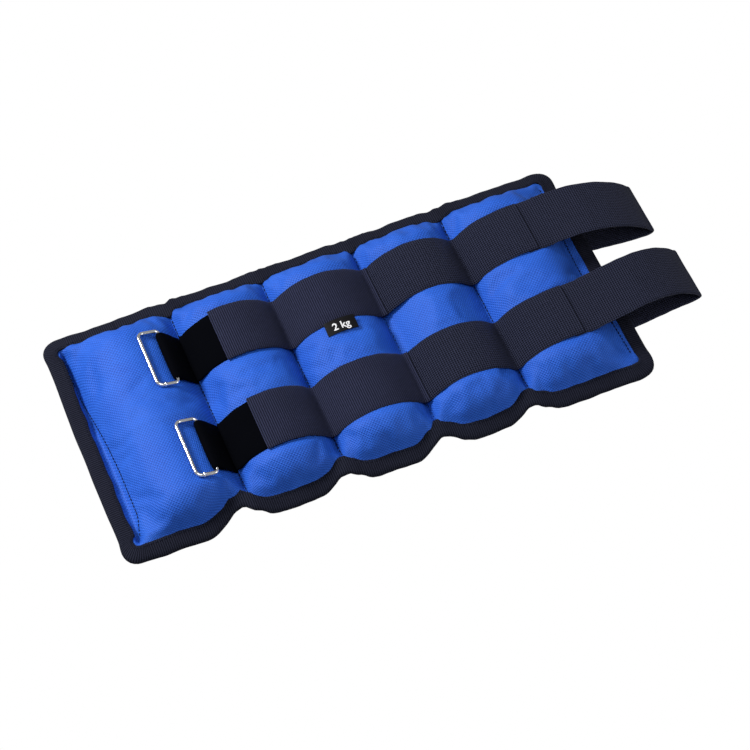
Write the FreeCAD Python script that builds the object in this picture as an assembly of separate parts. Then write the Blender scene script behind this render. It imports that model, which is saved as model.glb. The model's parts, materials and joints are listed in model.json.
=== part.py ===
"""Ankle cuff weight: five sand pockets sewn side by side, bound round the edge, with two straps across them.

The cuff lies open on its lining. X runs along the cuff, from the end with the wire rings to the end with
the strap tails, Y runs across it and Z is up. The origin is under the middle of the centre pocket, on the
surface that the cuff lies on. All sizes are in millimetres.
"""
import FreeCAD, Part

import math
import os

V = FreeCAD.Vector

# the cuff
CUFF_WIDTH = 180.0        # over the bindings
SEAM_PITCH = 68.0         # between the channel seams
END_POCKET = 90.5         # from an outer seam to the cuff's end
CORNER_RADIUS = 18.0      # of the binding's outer edge, in plan
POCKET_COUNT = 5
POCKET_HEIGHT = 29.0      # a filled pocket's highest point
SEAM_HEIGHT = 8.0         # where the cover and the lining meet
FABRIC = 0.9              # one layer of cover or lining
SEAM_ALLOWANCE = 2.0      # flat fabric on each side of a channel seam
END_FLAP = 6.0            # flat fabric between an end pocket and its binding
SIDE_FLAP = 0.5           # the same along the two long edges
SHOULDER = 24.0           # width over which a pocket falls to its long edges
UNDER_FILLET = 12.0       # how far a pocket's underside curves up to a seam
BAG_CLEARANCE = 0.4       # between a sand bag and its pocket

# the edge binding, a tape folded over the edge
BINDING_WIDTH = 12.0
TAPE = 1.2
TAPE_CLEARANCE = 0.05

# folding at the seams
FOLD_LIMIT = 64.0         # degrees at each seam
FOLD_SPARE = 2.5          # degrees left between two pockets when fully folded
SEAM_GAP = 0.3            # between two pockets' solids

# straps
STRAP_SPREAD = 37.0       # from the cuff's centre line to a strap's
STRAP_WIDTH = 41.0        # elastic and webbing
PILE_WIDTH = 38.0
STRAP_LIFT = 0.3          # from the pocket under it
STRAP_SEAM_LIFT = 1.5     # over the cover at a channel seam
ELASTIC = 1.5
PILE = 1.8
WEBBING = 1.6
ELASTIC_START = 22.0      # from the first seam to the elastic's cut end
WEBBING_END = 42.5        # from the sewn webbing's cut end to the cuff's end
TAIL_OVERLAP = 8.0        # of the sewn webbing on the tail

# strap tails
TAIL_HINGE = 22.5         # from the line where the tail lifts to the cuff's end
TAIL_REACH = 11.0         # straight webbing past the cuff's end
TAIL_DIP = 58.0           # degrees that the tail has turned down by before its fold
FOLD_RADIUS = 4.5         # at the webbing's middle, at the fold
TAIL_END_INSET = 2.0      # how far the folded end reaches under the binding
HINGE_GAP = 0.3
HOOK_PATCH = 32.0         # length of the hook patch on the folded end
HOOK_PATCH_THICKNESS = 1.2
HOOK_PATCH_MARGIN = 1.5   # from the webbing's edges and its cut end

# wire rings and their tabs
WIRE = 3.0                # diameter
RING_SIDE_CLEARANCE = 1.0  # on each side of the tab
RING_DEPTH = 12.0         # inside, along the strap
RING_CORNER = 1.2         # inside radius
WIRE_CLEARANCE = 0.25     # in the tab's tunnel
TAB_TAPE = 1.5            # one layer of the folded tab
TAB_LIFT = 0.4            # over the pocket under it
TAB_FOOT = 1.5            # from the first seam to the tab's sewn foot
TAB_REACH = 13.0          # from the tab's foot to the ring's hidden bar, along the cuff
WELD_BEAD = 3.9           # diameter of the wire's closing weld
WELD_LENGTH = 2.4

# label and stitching
LABEL_LENGTH = 22.0
LABEL_DROP = 10.0
LABEL = 0.7
LABEL_GAP = 0.4
THREAD = 0.5
THREAD_LIFT = 0.05
THREAD_OFFSET = 1.0       # from the seam line

CUFF_LENGTH = (POCKET_COUNT - 2) * SEAM_PITCH + 2 * END_POCKET
HALF_LENGTH = CUFF_LENGTH / 2
HALF_WIDTH = CUFF_WIDTH / 2
SEAMS = [SEAM_PITCH * (i - (POCKET_COUNT - 2) / 2) for i in range(POCKET_COUNT - 1)]
END_STITCH = HALF_LENGTH - BINDING_WIDTH - END_FLAP
SIDE_FOOT = HALF_WIDTH - BINDING_WIDTH - SIDE_FLAP
CROWN_HALF = SIDE_FOOT - SHOULDER    # half the width over which a pocket keeps its full height
WEBBING_END_X = HALF_LENGTH - WEBBING_END
TAIL_HINGE_X = HALF_LENGTH - TAIL_HINGE
COVER_TOP = SEAM_HEIGHT + FABRIC
STRAPS = {"back": STRAP_SPREAD, "front": -STRAP_SPREAD}
STRAP_FOOT = COVER_TOP + STRAP_SEAM_LIFT
RING_OPENING = PILE_WIDTH + 2 * RING_SIDE_CLEARANCE


def xz(x, z):
    return V(x, 0, z)


def line(a, b):
    return Part.LineSegment(a, b).toShape()


def arc(a, b, c):
    """The arc from a to c through b."""
    return Part.Arc(a, b, c).toShape()


def path(points):
    """Straight edges through the points, leaving out points that coincide."""
    return [line(a, b) for a, b in zip(points, points[1:]) if (a - b).Length > 1e-6]


def prism(edges, start, along):
    """The closed outline moved to start and extruded along a vector."""
    face = Part.Face(Part.Wire(edges))
    face.translate(start)
    return face.extrude(along)


def across(edges, middle, width):
    """An XZ outline made a band of that width across the cuff, about y = middle."""
    return prism(edges, V(0, middle - width / 2, 0), V(0, width, 0))


def slab(x0, x1):
    """All of the cuff's space between two stations along it."""
    return Part.makeBox(x1 - x0, 2 * CUFF_WIDTH, 4 * POCKET_HEIGHT, V(x0, -CUFF_WIDTH, -POCKET_HEIGHT))


def outline_plate(inset, z0, z1):
    """The cuff's plan, taken in by inset, from z0 to z1."""
    x, y, r = HALF_LENGTH - inset, HALF_WIDTH - inset, CORNER_RADIUS - inset
    plate = Part.makeBox(2 * x, 2 * y, z1 - z0, V(-x, -y, z0))
    corners = [e for e in plate.Edges if abs(e.Vertexes[0].Z - e.Vertexes[1].Z) > 0.5 * (z1 - z0)]
    return plate.makeFillet(r, corners)


def station(k):
    """Where pocket k (counted from 0) starts and ends, and where its filled part does."""
    left = -HALF_LENGTH if k == 0 else SEAMS[k - 1] + SEAM_GAP / 2
    right = HALF_LENGTH if k == POCKET_COUNT - 1 else SEAMS[k] - SEAM_GAP / 2
    foot_left = -END_STITCH if k == 0 else SEAMS[k - 1] + SEAM_ALLOWANCE
    foot_right = END_STITCH if k == POCKET_COUNT - 1 else SEAMS[k] - SEAM_ALLOWANCE
    return left, right, foot_left, foot_right


def crown(k):
    """The circle of pocket k's top in the XZ plane: its centre and radius."""
    foot_left, foot_right = station(k)[2:]
    half, rise = (foot_right - foot_left) / 2, POCKET_HEIGHT - COVER_TOP
    radius = (half * half + rise * rise) / (2 * rise)
    return xz((foot_left + foot_right) / 2, POCKET_HEIGHT - radius), radius


def on_crown(k, angle, lift):
    """A point over pocket k's top, at an angle from its highest point and a height off the fabric."""
    centre, radius = crown(k)
    a = math.radians(angle)
    return centre + V(math.sin(a), 0, math.cos(a)) * (radius + lift)


def top_edges(a0, a1, foot0, foot1, base, foot_z, top_z, point):
    """A pocket's top half as an outline: flat feet, one arch, closed at the height base."""
    middle = point((foot0 + foot1) / 2, top_z)
    before = [point(a0, base), point(a0, foot_z), point(foot0, foot_z)]
    after = [point(foot1, foot_z), point(a1, foot_z), point(a1, base), before[0]]
    return path(before) + [arc(before[-1], middle, after[0])] + path(after)


def shoulder_edges(half, foot, crown_half, base, foot_z, top_z):
    """The top half seen along the cuff: flat on top, curving down to the long edges."""
    drop, run = top_z - foot_z, foot - crown_half
    radius = (run * run + drop * drop) / (2 * drop)
    turn = math.atan2(drop, run)
    mid_y, mid_z = crown_half + radius * math.sin(turn), top_z - radius * (1 - math.cos(turn))
    right = [V(0, crown_half, top_z), V(0, mid_y, mid_z), V(0, foot, foot_z), V(0, half, foot_z),
             V(0, half, base)]
    left = [V(0, -p.y, p.z) for p in reversed(right)]
    return (path([left[-1], right[0]]) + [arc(*right[:3])] + path(right[2:] + left[:3]) + [arc(*left[2:])])


def under_edges(a0, a1, foot0, foot1, base, foot_z, floor_z, point):
    """A pocket's lower half as an outline: flat underneath, curving up to its feet."""
    fillet = UNDER_FILLET
    drop = foot_z - floor_z
    radius = (fillet * fillet + drop * drop) / (2 * drop)
    turn = math.atan2(drop, fillet)
    dx, dz = radius * math.sin(turn), radius * (1 - math.cos(turn))
    flat0, flat1 = foot0 + fillet, foot1 - fillet
    up0 = arc(point(foot0, foot_z), point(flat0 - dx, floor_z + dz), point(flat0, floor_z))
    up1 = arc(point(flat1, floor_z), point(flat1 + dx, floor_z + dz), point(foot1, foot_z))
    rim = [point(foot1, foot_z), point(a1, foot_z), point(a1, base), point(a0, base), point(a0, foot_z),
           point(foot0, foot_z)]
    return [up0, line(point(flat0, floor_z), point(flat1, floor_z)), up1] + path(rim)


def yz(y, z):
    return V(0, y, z)


def long_prism(edges):
    """A YZ outline extruded the whole length of the cuff."""
    return prism(edges, V(-HALF_LENGTH, 0, 0), V(CUFF_LENGTH, 0, 0))


def dome(k, skin, foot_lift):
    """The upper half of pocket k's form, taken in by skin, on feet foot_lift over the seam's height."""
    left, right, foot0, foot1 = station(k)
    if not foot_lift:
        left, right = foot0 + skin, foot1 - skin
    foot_z, top_z = SEAM_HEIGHT + foot_lift, POCKET_HEIGHT - skin
    half = HALF_WIDTH if foot_lift else SIDE_FOOT - skin
    over = top_edges(left, right, foot0 + skin, foot1 - skin, SEAM_HEIGHT, foot_z, top_z, xz)
    arch = across(over, 0, CUFF_WIDTH)
    sides = shoulder_edges(half, SIDE_FOOT - skin, CROWN_HALF, SEAM_HEIGHT, foot_z, top_z)
    return arch.common(long_prism(sides))


def tray(k, skin, foot_drop):
    """The lower half of pocket k's form, taken in by skin, hanging foot_drop under the seam's height."""
    left, right, foot0, foot1 = station(k)
    if not foot_drop:
        left, right = foot0 + skin, foot1 - skin
    foot_z = SEAM_HEIGHT - foot_drop
    half = HALF_WIDTH if foot_drop else SIDE_FOOT - skin
    side = SIDE_FOOT - skin
    below = under_edges(left, right, foot0 + skin, foot1 - skin, SEAM_HEIGHT, foot_z, skin, xz)
    trough = across(below, 0, CUFF_WIDTH)
    return trough.common(long_prism(under_edges(-half, half, -side, side, SEAM_HEIGHT, foot_z, skin, yz)))


def fold_relief(seam):
    """The wedge under a seam that the two pockets must leave free to fold towards the lining."""
    reach = math.tan(math.radians(FOLD_LIMIT / 2 + FOLD_SPARE)) * 2 * SEAM_HEIGHT
    apex, low = xz(seam, SEAM_HEIGHT), SEAM_HEIGHT - 2 * SEAM_HEIGHT
    return across(path([apex, xz(seam - reach, low), xz(seam + reach, low), apex]), 0, 2 * CUFF_WIDTH)


def relieved(shape, k):
    """A piece of pocket k, cut free of the folds at its two ends."""
    for seam in SEAMS[max(0, k - 1):k + 1]:
        shape = shape.cut(fold_relief(seam))
    return shape


def panels(k):
    """Pocket k's cover, lining and sand bag."""
    plan = outline_plate(TAPE + TAPE_CLEARANCE, 0, 2 * POCKET_HEIGHT)
    cover = dome(k, 0, FABRIC).cut(dome(k, FABRIC, 0)).common(plan)
    lining = tray(k, 0, FABRIC).cut(tray(k, FABRIC, 0)).common(plan)
    skin = FABRIC + BAG_CLEARANCE
    bag = dome(k, skin, 0).fuse(tray(k, skin, 0)).removeSplitter()
    return {f"cover_panel_{k + 1}": relieved(cover, k), f"lining_panel_{k + 1}": relieved(lining, k),
            f"sand_bag_{k + 1}": bag}


def binding_ring():
    """The whole edge binding: a flat ring with a slot for the two fabric edges."""
    half = FABRIC + TAPE
    ring = outline_plate(0, SEAM_HEIGHT - half, SEAM_HEIGHT + half)
    ring = ring.cut(outline_plate(BINDING_WIDTH, SEAM_HEIGHT - half, SEAM_HEIGHT + half))
    slot = FABRIC + TAPE_CLEARANCE
    return ring.cut(outline_plate(TAPE, SEAM_HEIGHT - slot, SEAM_HEIGHT + slot))


def bindings():
    """The binding, cut at the seams into a stretch for each long edge of each pocket, and the two ends."""
    ring = binding_ring()
    end = HALF_LENGTH - CORNER_RADIUS - TAPE
    made = {"ring_end_binding": ring.common(slab(-2 * HALF_LENGTH, -end)),
            "tail_end_binding": ring.common(slab(end, 2 * HALF_LENGTH))}
    for k in range(POCKET_COUNT):
        left, right = station(k)[:2]
        stretch = relieved(ring.common(slab(max(left, -end), min(right, end))), k)
        for side, solid in zip(("front", "back"), sorted(stretch.Solids, key=lambda s: s.CenterOfMass.y)):
            made[f"{side}_binding_{k + 1}"] = solid
    return made


def band_over(k, lift, thickness, start=None, end=None):
    """The XZ outline of a strap that arches over pocket k from seam to seam, cut to start and end."""
    left, right = station(k)[:2]
    middle = crown(k)[0].x
    low, high = [[xz(left, STRAP_FOOT + up), xz(middle, POCKET_HEIGHT + up), xz(right, STRAP_FOOT + up)]
                 for up in (lift, lift + thickness)]
    edges = [arc(*low), line(low[2], high[2]), arc(*high), line(high[0], low[0])]
    return edges, (left if start is None else start), (right if end is None else end)


def strap_over(k, side, width, lift, thickness, start=None, end=None):
    edges, x0, x1 = band_over(k, lift, thickness, start, end)
    return across(edges, STRAPS[side], width).common(slab(x0, x1))


def flat_strap_z():
    """The underside of the strap where it leaves the last pocket's crown."""
    return POCKET_HEIGHT + STRAP_LIFT


def webbing_end(side):
    """The sewn webbing over the last pocket: up the arch to its crown, then level to its cut end."""
    k = POCKET_COUNT - 1
    left, crown_x = station(k)[0], crown(k)[0].x
    z0 = flat_strap_z() + WEBBING
    rise = strap_over(k, side, STRAP_WIDTH, STRAP_LIFT + WEBBING, WEBBING, left, crown_x)
    level = Part.makeBox(WEBBING_END_X - crown_x, STRAP_WIDTH, WEBBING,
                         V(crown_x, STRAPS[side] - STRAP_WIDTH / 2, z0))
    return rise.fuse(level).removeSplitter()


def tail_root(side):
    """The tail's sewn end under that webbing, level from there to the line where the tail lifts."""
    k = POCKET_COUNT - 1
    x0 = max(WEBBING_END_X - TAIL_OVERLAP, crown(k)[0].x)
    x1 = TAIL_HINGE_X - HINGE_GAP / 2
    corner = V(x0, STRAPS[side] - STRAP_WIDTH / 2, flat_strap_z())
    return Part.makeBox(x1 - x0, STRAP_WIDTH, WEBBING, corner)


def tail_geometry():
    """The tail's middle line: where its bend starts, the bend's radius, its end, and the fold's centre."""
    top = flat_strap_z() + WEBBING / 2
    dip = math.radians(TAIL_DIP)
    start_x = HALF_LENGTH + TAIL_REACH
    fold_z = HOOK_PATCH_THICKNESS + WEBBING / 2 + FOLD_RADIUS
    radius = (top - fold_z - FOLD_RADIUS * math.cos(dip)) / (1 - math.cos(dip))
    end = xz(start_x + radius * math.sin(dip), top - radius * (1 - math.cos(dip)))
    fold = end - V(math.sin(dip), 0, math.cos(dip)) * FOLD_RADIUS
    return start_x, top, radius, dip, end, fold


def ring_sector(centre, inner, outer, from_angle, to_angle):
    """An XZ outline of a curved strap between two radii; angles are in radians from +Z towards +X."""
    def at(radius, angle):
        return centre + V(math.sin(angle), 0, math.cos(angle)) * radius
    middle = (from_angle + to_angle) / 2
    return [arc(at(outer, from_angle), at(outer, middle), at(outer, to_angle)),
            line(at(outer, to_angle), at(inner, to_angle)),
            arc(at(inner, to_angle), at(inner, middle), at(inner, from_angle)),
            line(at(inner, from_angle), at(outer, from_angle))]


def tail_strap(side):
    """The free webbing: level past the cuff's end, then down in one bend to the fold."""
    start_x, top, radius, dip, _, _ = tail_geometry()
    x0 = TAIL_HINGE_X + HINGE_GAP / 2
    corner = V(x0, STRAPS[side] - STRAP_WIDTH / 2, top - WEBBING / 2)
    level = Part.makeBox(start_x - x0, STRAP_WIDTH, WEBBING, corner)
    centre = xz(start_x, top - radius)
    bend = across(ring_sector(centre, radius - WEBBING / 2, radius + WEBBING / 2, 0, dip),
                  STRAPS[side], STRAP_WIDTH)
    return level.fuse(bend).removeSplitter()


def tail_fold(side):
    """The turn of the webbing at the fold, which opens when the folded end swings out."""
    _, _, _, dip, _, fold = tail_geometry()
    edges = ring_sector(fold, FOLD_RADIUS - WEBBING / 2, FOLD_RADIUS + WEBBING / 2, dip, math.pi)
    return across(edges, STRAPS[side], STRAP_WIDTH)


def tail_end_x():
    return HALF_LENGTH - TAIL_END_INSET


def tail_end(side):
    """The folded end of the webbing, flat under the tail on its hook patch."""
    length = tail_geometry()[5].x - HINGE_GAP - tail_end_x()
    return Part.makeBox(length, STRAP_WIDTH, WEBBING,
                        V(tail_end_x(), STRAPS[side] - STRAP_WIDTH / 2, HOOK_PATCH_THICKNESS))


def hook_patch(side):
    """The hook patch sewn on the folded end's outer face, which is its underside as it lies."""
    width = STRAP_WIDTH - 2 * HOOK_PATCH_MARGIN
    x0 = tail_end_x() + HOOK_PATCH_MARGIN
    return Part.makeBox(HOOK_PATCH, width, HOOK_PATCH_THICKNESS, V(x0, STRAPS[side] - width / 2, 0))


def crown_angle(from_seam):
    """The angle from the first pocket's highest point to a place that far inside the first seam."""
    centre, radius = crown(0)
    return math.degrees(math.asin((SEAMS[0] - from_seam - centre.x) / (radius + TAB_LIFT + TAB_TAPE)))


def ring_axis():
    """The middle of the ring's hidden bar, in the XZ plane."""
    return on_crown(0, crown_angle(TAB_FOOT + TAB_REACH), TAB_LIFT + TAB_TAPE + WIRE_CLEARANCE + WIRE / 2)


def ring_bar():
    """The middle of the ring's outer bar: one ring depth from the hidden bar, resting over the pocket."""
    axis = ring_axis()
    reach, lift = RING_DEPTH + WIRE, STRAP_LIFT + WELD_BEAD / 2
    low, high = -80.0, crown_angle(TAB_FOOT + TAB_REACH)
    for _ in range(60):
        middle = (low + high) / 2
        if (on_crown(0, middle, lift) - axis).Length > reach:
            low = middle
        else:
            high = middle
    return on_crown(0, low, lift)


def wire_ring(side):
    """The rectangular ring: one wire bent round four corners and closed with a small weld."""
    half_depth, half_width = (RING_DEPTH + WIRE) / 2, (RING_OPENING + WIRE) / 2
    bend = RING_CORNER + WIRE / 2
    pieces = []
    for turn in range(4):
        along, out = (half_width, half_depth) if turn % 2 == 0 else (half_depth, half_width)
        run = Part.makeCylinder(WIRE / 2, 2 * (along - bend), V(out, bend - along, 0), V(0, 1, 0))
        corner = Part.makeTorus(bend, WIRE / 2, V(out - bend, along - bend, 0), V(0, 0, 1), -180, 180, 90)
        for piece in (run, corner):
            piece.rotate(V(), V(0, 0, 1), 90 * turn)
            pieces.append(piece)
    weld_start = V(bend - half_depth, -half_width, 0)
    pieces.append(Part.makeCylinder(WELD_BEAD / 2, WELD_LENGTH, weld_start, V(1, 0, 0)))
    ring = pieces[0].multiFuse(pieces[1:]).removeSplitter()
    axis, bar = ring_axis(), ring_bar()
    slope = math.degrees(math.atan2(bar.z - axis.z, axis.x - bar.x))
    ring.rotate(V(), V(0, 1, 0), slope)
    middle = (axis + bar) / 2
    ring.translate(V(middle.x, STRAPS[side], middle.z))
    return ring


def ring_tab(side):
    """The pile tape folded round the ring's hidden bar and sewn down at the first seam."""
    centre, radius = crown(0)
    thickness = 2 * TAB_TAPE
    a0, a1 = math.radians(crown_angle(TAB_FOOT + TAB_REACH)), math.radians(crown_angle(TAB_FOOT))
    flap = across(ring_sector(centre, radius + TAB_LIFT, radius + TAB_LIFT + thickness, a0, a1),
                  STRAPS[side], PILE_WIDTH)
    axis = ring_axis()
    start = V(axis.x, STRAPS[side] - PILE_WIDTH / 2, axis.z)
    tube_radius = WIRE / 2 + WIRE_CLEARANCE
    roll = Part.makeCylinder(tube_radius + TAB_TAPE, PILE_WIDTH, start, V(0, 1, 0))
    tunnel = Part.makeCylinder(tube_radius, PILE_WIDTH, start, V(0, 1, 0))
    tab = flap.fuse(roll).cut(tunnel).removeSplitter()
    return tab.common(slab(-HALF_LENGTH, SEAMS[0] - SEAM_GAP / 2))


def tab_hinge():
    """Where a tab bends: on its upper face, at its sewn foot."""
    foot = on_crown(0, crown_angle(TAB_FOOT), TAB_LIFT + 2 * TAB_TAPE)
    return xz(min(foot.x, SEAMS[0] - SEAM_GAP / 2), foot.z)


def weight_label():
    """The woven weight label on the centre pocket, hanging from the back strap's front edge."""
    k = POCKET_COUNT // 2
    middle = crown(k)[0].x
    edges, x0, x1 = band_over(k, LABEL_GAP, LABEL, middle - LABEL_LENGTH / 2, middle + LABEL_LENGTH / 2)
    top = STRAPS["back"] - STRAP_WIDTH / 2 - LABEL_GAP
    return across(edges, top - LABEL_DROP / 2, LABEL_DROP).common(slab(x0, x1))


def thread_row(x, half):
    """A row of stitching across the cuff, on the flat fabric of a seam."""
    return Part.makeBox(THREAD, 2 * half, THREAD, V(x - THREAD / 2, -half, COVER_TOP + THREAD_LIFT))


def stitching():
    made = {}
    for i, seam in enumerate(SEAMS):
        made[f"seam_thread_{i + 1}"] = thread_row(seam + THREAD_OFFSET, SIDE_FOOT)
    x = END_STITCH + THREAD_OFFSET
    made["ring_end_thread"] = thread_row(-x, SIDE_FOOT)
    made["tail_end_thread"] = thread_row(x, SIDE_FOOT)
    return made


def straps(side):
    """One strap's pieces, from its ring to its folded tail."""
    second, last = 1, POCKET_COUNT - 1
    made = {f"{side}_wire_ring": wire_ring(side),
            f"{side}_ring_tab": ring_tab(side),
            f"{side}_pile_band": strap_over(second, side, PILE_WIDTH, STRAP_LIFT, PILE),
            f"{side}_elastic_{second + 1}": strap_over(second, side, STRAP_WIDTH, STRAP_LIFT + PILE, ELASTIC,
                                                       SEAMS[0] + ELASTIC_START)}
    for k in range(second + 1, last - 1):
        made[f"{side}_elastic_{k + 1}"] = strap_over(k, side, STRAP_WIDTH, STRAP_LIFT, ELASTIC)
    made[f"{side}_webbing_{last}"] = strap_over(last - 1, side, STRAP_WIDTH, STRAP_LIFT, WEBBING)
    made[f"{side}_webbing_{last + 1}"] = webbing_end(side)
    made[f"{side}_tail_root"] = tail_root(side)
    made[f"{side}_tail_strap"] = tail_strap(side)
    made[f"{side}_tail_fold"] = tail_fold(side)
    made[f"{side}_tail_end"] = tail_end(side)
    made[f"{side}_hook_patch"] = hook_patch(side)
    return made


def build():
    nodes = {}
    for k in range(POCKET_COUNT):
        nodes.update(panels(k))
    nodes.update(bindings())
    nodes.update(stitching())
    nodes["weight_label"] = weight_label()
    for side in STRAPS:
        nodes.update(straps(side))
    return nodes


os.makedirs("parts", exist_ok=True)
for name, shape in build().items():
    solids = shape.Solids
    whole = solids[0] if len(solids) == 1 else Part.makeCompound(solids)
    if not (solids and whole.isValid()):
        raise SystemExit(f"{name} is not a valid solid")
    whole.exportStep(f"parts/{name}.step")
    box = whole.BoundBox
    print(f"{name:22s} {len(solids)} solid  x {box.XMin:8.2f} {box.XMax:8.2f}"
          f"  y {box.YMin:7.2f} {box.YMax:7.2f}  z {box.ZMin:6.2f} {box.ZMax:6.2f}"
          f"  {whole.Volume / 1000:8.2f} cm3")
fold = tail_geometry()[5]
hinges = {"seams": [xz(x, SEAM_HEIGHT) for x in SEAMS],
          "tabs": tab_hinge(),
          "rings": ring_axis(),
          "tails": xz(TAIL_HINGE_X, flat_strap_z() + WEBBING),
          "tail tips": xz(fold.x - HINGE_GAP / 2, HOOK_PATCH_THICKNESS)}
print("hinge lines, along Y:", hinges)
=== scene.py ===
import json
from math import asin, cos, exp, hypot, pi, radians, sin, sqrt, tan

import bmesh
import bpy
from mathutils import Matrix, Vector, noise
from mathutils.bvhtree import BVHTree


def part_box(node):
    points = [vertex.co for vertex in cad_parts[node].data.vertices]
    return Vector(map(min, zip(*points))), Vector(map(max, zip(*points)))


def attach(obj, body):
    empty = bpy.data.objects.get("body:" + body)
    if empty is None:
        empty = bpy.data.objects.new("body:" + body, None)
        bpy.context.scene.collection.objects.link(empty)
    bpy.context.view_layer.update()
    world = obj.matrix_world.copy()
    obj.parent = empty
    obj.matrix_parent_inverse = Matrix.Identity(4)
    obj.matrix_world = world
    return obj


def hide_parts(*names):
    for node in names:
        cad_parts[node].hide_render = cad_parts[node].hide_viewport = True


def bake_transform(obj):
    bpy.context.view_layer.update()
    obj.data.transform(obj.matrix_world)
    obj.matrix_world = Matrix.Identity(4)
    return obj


# An ankle cuff weight: five sand-filled cloth pockets in a row, an edge tape all round them, and two
# straps across them, each with a wire ring at one end and a long webbing tail at the other.
# The cuff lies open on its lining. X runs along it from the rings to the tails, Z is up, in metres.

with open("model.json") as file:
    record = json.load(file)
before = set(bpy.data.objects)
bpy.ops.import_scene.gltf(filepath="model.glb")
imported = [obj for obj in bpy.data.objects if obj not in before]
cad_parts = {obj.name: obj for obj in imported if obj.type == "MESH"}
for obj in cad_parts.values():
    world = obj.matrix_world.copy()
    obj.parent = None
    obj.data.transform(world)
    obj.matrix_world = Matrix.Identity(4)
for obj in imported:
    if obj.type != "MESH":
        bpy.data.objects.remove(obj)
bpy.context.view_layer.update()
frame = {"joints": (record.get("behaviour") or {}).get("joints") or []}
MM = 0.001


def low(node):
    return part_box(node)[0]


def high(node):
    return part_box(node)[1]


# ---------------------------------------------------------------- sizes, from the frame

POCKETS = (1, 2, 3, 4, 5)
SEAMS = [(high(f"cover_panel_{k}").x + low(f"cover_panel_{k + 1}").x) / 2 for k in POCKETS[:-1]]
CUFF_END = high("tail_end_binding").x
CUFF_SIDE = high("back_binding_3").y
SEAM_Z = high("lining_panel_3").z
CROWN_Z = high("cover_panel_3").z
STRAP_Y = {side: (low(f"{side}_elastic_3").y + high(f"{side}_elastic_3").y) / 2 for side in ("back", "front")}
STRAP_WIDTH = high("back_elastic_3").y - low("back_elastic_3").y
PILE_WIDTH = high("back_pile_band").y - low("back_pile_band").y
CORNER = 18 * MM             # radius of the outline's corners
TAPE_WIDTH = 11.5 * MM       # of the edge tape, as it shows from above
TAPE_HALF = 2.0 * MM         # half of its thickness, folded over both cloths
CLOTH_EDGE = TAPE_WIDTH / 2  # how far inside the outline the cloths end
SHOULDER = 25 * MM           # how far in from the edge tape a pocket reaches its height
UNDER_CURVE = 15 * MM        # how far from its sewn lines a lining curves up to them
CELL = 3.0 * MM              # of the cloth's mesh
CLOTH_SHIFT = 37.1 * MM      # between the places where two neighbouring panels' patterns start
ELASTIC = 1.5 * MM           # the thicknesses of the straps' parts
PILE = 1.8 * MM
WEBBING = 1.6 * MM
WEBBING_WIDTH = STRAP_WIDTH - 0.8 * MM
FOLD_HALF = radians(32)      # half of what a seam folds by


def ease(t):
    t = min(max(t, 0.0), 1.0)
    return t * t * (3 - 2 * t)


def bell(t):
    return exp(-t * t)


def copy_sign(value, like):
    return value if like >= 0 else -value


def mix(a, b, t):
    return a + (b - a) * t


def lumps(x, y, size, seed=0.0):
    """Smooth unevenness between about -1 and 1, with lumps of that size."""
    return noise.noise(Vector((x / size, y / size, seed)))


# ---------------------------------------------------------------- the outline and its edge tape

# how far each seam draws the back (1) and front (-1) edge in, and how far past the seam that lies, in mm
DRAWN_IN = {1: ((2.6, 0), (2.2, 1), (2.8, -1), (2.4, 0)), -1: ((12.0, -9), (7.0, -3), (8.0, 2), (6.5, -2))}
DRAW_REACH = {1: 8 * MM, -1: 12 * MM}
BELLY = {1: 1.0 * MM, -1: 2.4 * MM}     # how far each edge stands out between the seams
SQUARER = 3.2 * MM           # how far the tape pushes each corner out


def side_wave(x, side):
    """How far the edge stands out of the straight outline at x, on the back (1) or front (-1) side."""
    slow = 1.5 * MM * lumps(x, 0.0, 21 * MM, 3.1 * side)
    quick = 0.6 * MM * lumps(x, 0.0, 8 * MM, 6.3 * side)
    kinks = 1.9 * MM * lumps(x, 0.0, 5.5 * MM, 2.9 * side)
    out = BELLY[side] + slow + quick
    for seam, (depth, shift) in zip(SEAMS, DRAWN_IN[side]):
        out -= depth * MM * bell((x - seam - shift * MM) / DRAW_REACH[side])
        out += kinks * bell((x - seam - 4 * MM) / (15 * MM))
    return out


def end_wave(y, end):
    """The same for the tails' end (1) and the rings' end (-1)."""
    return (0.8 * bell(y / (50 * MM)) - 0.8) * MM + 0.5 * MM * lumps(y, end, 25 * MM, 7.7)


def wave(p, n):
    """The same for a place p on the straight outline, whose outward direction is n."""
    long_share = n.y * n.y
    out = (1 - long_share) * end_wave(p.y, 1 if p.x > 0 else -1)
    if long_share > 0:
        out += long_share * side_wave(p.x, 1 if n.y > 0 else -1)
    return out + 4 * n.x * n.x * long_share * SQUARER


def rim(centre, n, inset):
    """The place that far inside the outline, for a centre of the outline's corner radius."""
    return centre + n * (CORNER - inset + wave(centre + n * CORNER, n))


LONG = 2 * (CUFF_END - CORNER)          # the outline's straight stretches
WIDE = 2 * (CUFF_SIDE - CORNER)
QUARTER = pi / 2 * CORNER
ROUND = 2 * (LONG + WIDE) + 4 * QUARTER


def walk(a):
    """The outline's centre and outward direction at a distance along it. The distance starts at the ring end
    of the back edge, and goes round by the tails and the front edge."""
    a %= ROUND
    hx, hy = LONG / 2, WIDE / 2
    for length, start, step, turn in (
            (LONG, (-hx, hy), (1, 0), pi / 2), (QUARTER, (hx, hy), None, pi / 2),
            (WIDE, (hx, hy), (0, -1), 0.0), (QUARTER, (hx, -hy), None, 0.0),
            (LONG, (hx, -hy), (-1, 0), -pi / 2), (QUARTER, (-hx, -hy), None, -pi / 2),
            (WIDE, (-hx, -hy), (0, 1), -pi), (QUARTER, (-hx, hy), None, -pi)):
        if a <= length:
            if step:
                return Vector(start) + Vector(step) * a, Vector((cos(turn), sin(turn)))
            turn -= a / CORNER
            return Vector(start), Vector((cos(turn), sin(turn)))
        a -= length
    return walk(0.0)


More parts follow.
